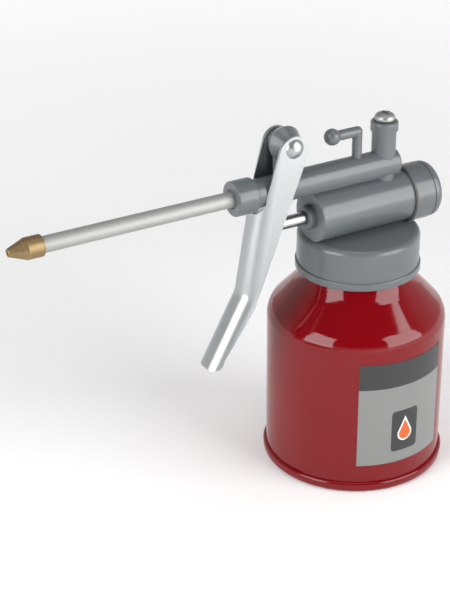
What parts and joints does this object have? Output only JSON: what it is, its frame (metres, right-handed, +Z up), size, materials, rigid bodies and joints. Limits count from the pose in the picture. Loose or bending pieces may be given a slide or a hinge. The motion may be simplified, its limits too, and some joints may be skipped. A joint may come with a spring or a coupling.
{
  "type": "hand pump oil can",
  "caption": "Hand pump oiler: red steel can with a screwed-on grey plastic pump head, zinc-plated squeeze lever, aluminium spout tube and brass nozzle.",
  "frame": {"origin": "on the can's axis, in the plane of the seam that the can stands on", "axes": "+Z up along the can's axis; the spout points along -X and the pump's end cap faces +X; +Y is the far side, with the label on the -Y side"},
  "size_m": [0.1799, 0.0722, 0.1461],
  "materials": {
    "red_paint": "gloss",
    "label_print": "satin",
    "grey_plastic": "satin",
    "zinc_steel": "satin",
    "chrome_steel": "polished",
    "tube_aluminium": "satin",
    "nozzle_brass": "turned",
    "black_rubber": "matte",
    "white_plastic": "satin",
    "spring_steel": "satin"
  },
  "bodies": {
    "can": {"can_shell": "red_paint", "can_base": "red_paint", "label": "label_print"},
    "gasket": {"cap_gasket": "black_rubber"},
    "head": {"pump_head": "grey_plastic", "rod_gland": "grey_plastic", "rod_seal": "black_rubber", "end_cap": "grey_plastic", "end_cap_gasket": "black_rubber", "inlet_seat": "white_plastic", "inlet_ball_stop": "white_plastic", "suction_tube": "white_plastic", "inlet_strainer": "white_plastic", "valve_plug": "grey_plastic", "plug_seal": "black_rubber", "valve_screw": "chrome_steel", "screw_washer": "black_rubber", "spout_tube": "tube_aluminium", "tube_seal": "grey_plastic", "nozzle": "nozzle_brass", "return_spring": "spring_steel", "outlet_spring": "spring_steel"},
    "lever": {"trigger_lever": "zinc_steel", "pivot_rivet": "zinc_steel"},
    "plunger": {"piston_rod": "chrome_steel", "piston_head": "white_plastic", "piston_cup": "black_rubber", "cup_washer": "zinc_steel", "piston_nut": "zinc_steel"},
    "suction_ball": {"inlet_ball": "chrome_steel"},
    "delivery_ball": {"outlet_ball": "chrome_steel"}
  },
  "joints": [
    {"name": "head_lift", "type": "slide", "parent": "can", "child": "gasket", "axis": [0, 0, 1], "range_m": [0, 0.006]},
    {"name": "head_turn", "type": "hinge", "parent": "gasket", "child": "head", "pos_m": [0, 0, 0.0845], "axis": [0, 0, 1], "range_deg": [0, 720]},
    {"name": "lever_squeeze", "type": "hinge", "parent": "head", "child": "lever", "pos_m": [-0.0336, 0, 0.13955], "axis": [0, -1, 0], "range_deg": [0, 17], "stiffness_Nm_per_rad": 0.8, "springref_deg": -20.05},
    {"name": "plunger_slide", "type": "slide", "parent": "head", "child": "plunger", "axis": [1, 0, 0], "range_m": [0, 0.0097], "deforming": ["return_spring"]},
    {"name": "suction_ball_lift", "type": "slide", "parent": "head", "child": "suction_ball", "axis": [0, 0, 1], "range_m": [0, 0.0011]},
    {"name": "delivery_ball_lift", "type": "slide", "parent": "head", "child": "delivery_ball", "axis": [0, 0, 1], "range_m": [0, 0.001], "stiffness_N_per_m": 50, "springref_m": -0.002, "deforming": ["outlet_spring"]}
  ],
  "couplings": [
    {"joint": "head_lift", "follows": "head_turn", "m_per_rad": 0.00047746},
    {"joint": "plunger_slide", "follows": "lever_squeeze", "m_per_rad": 0.0322}
  ]
}
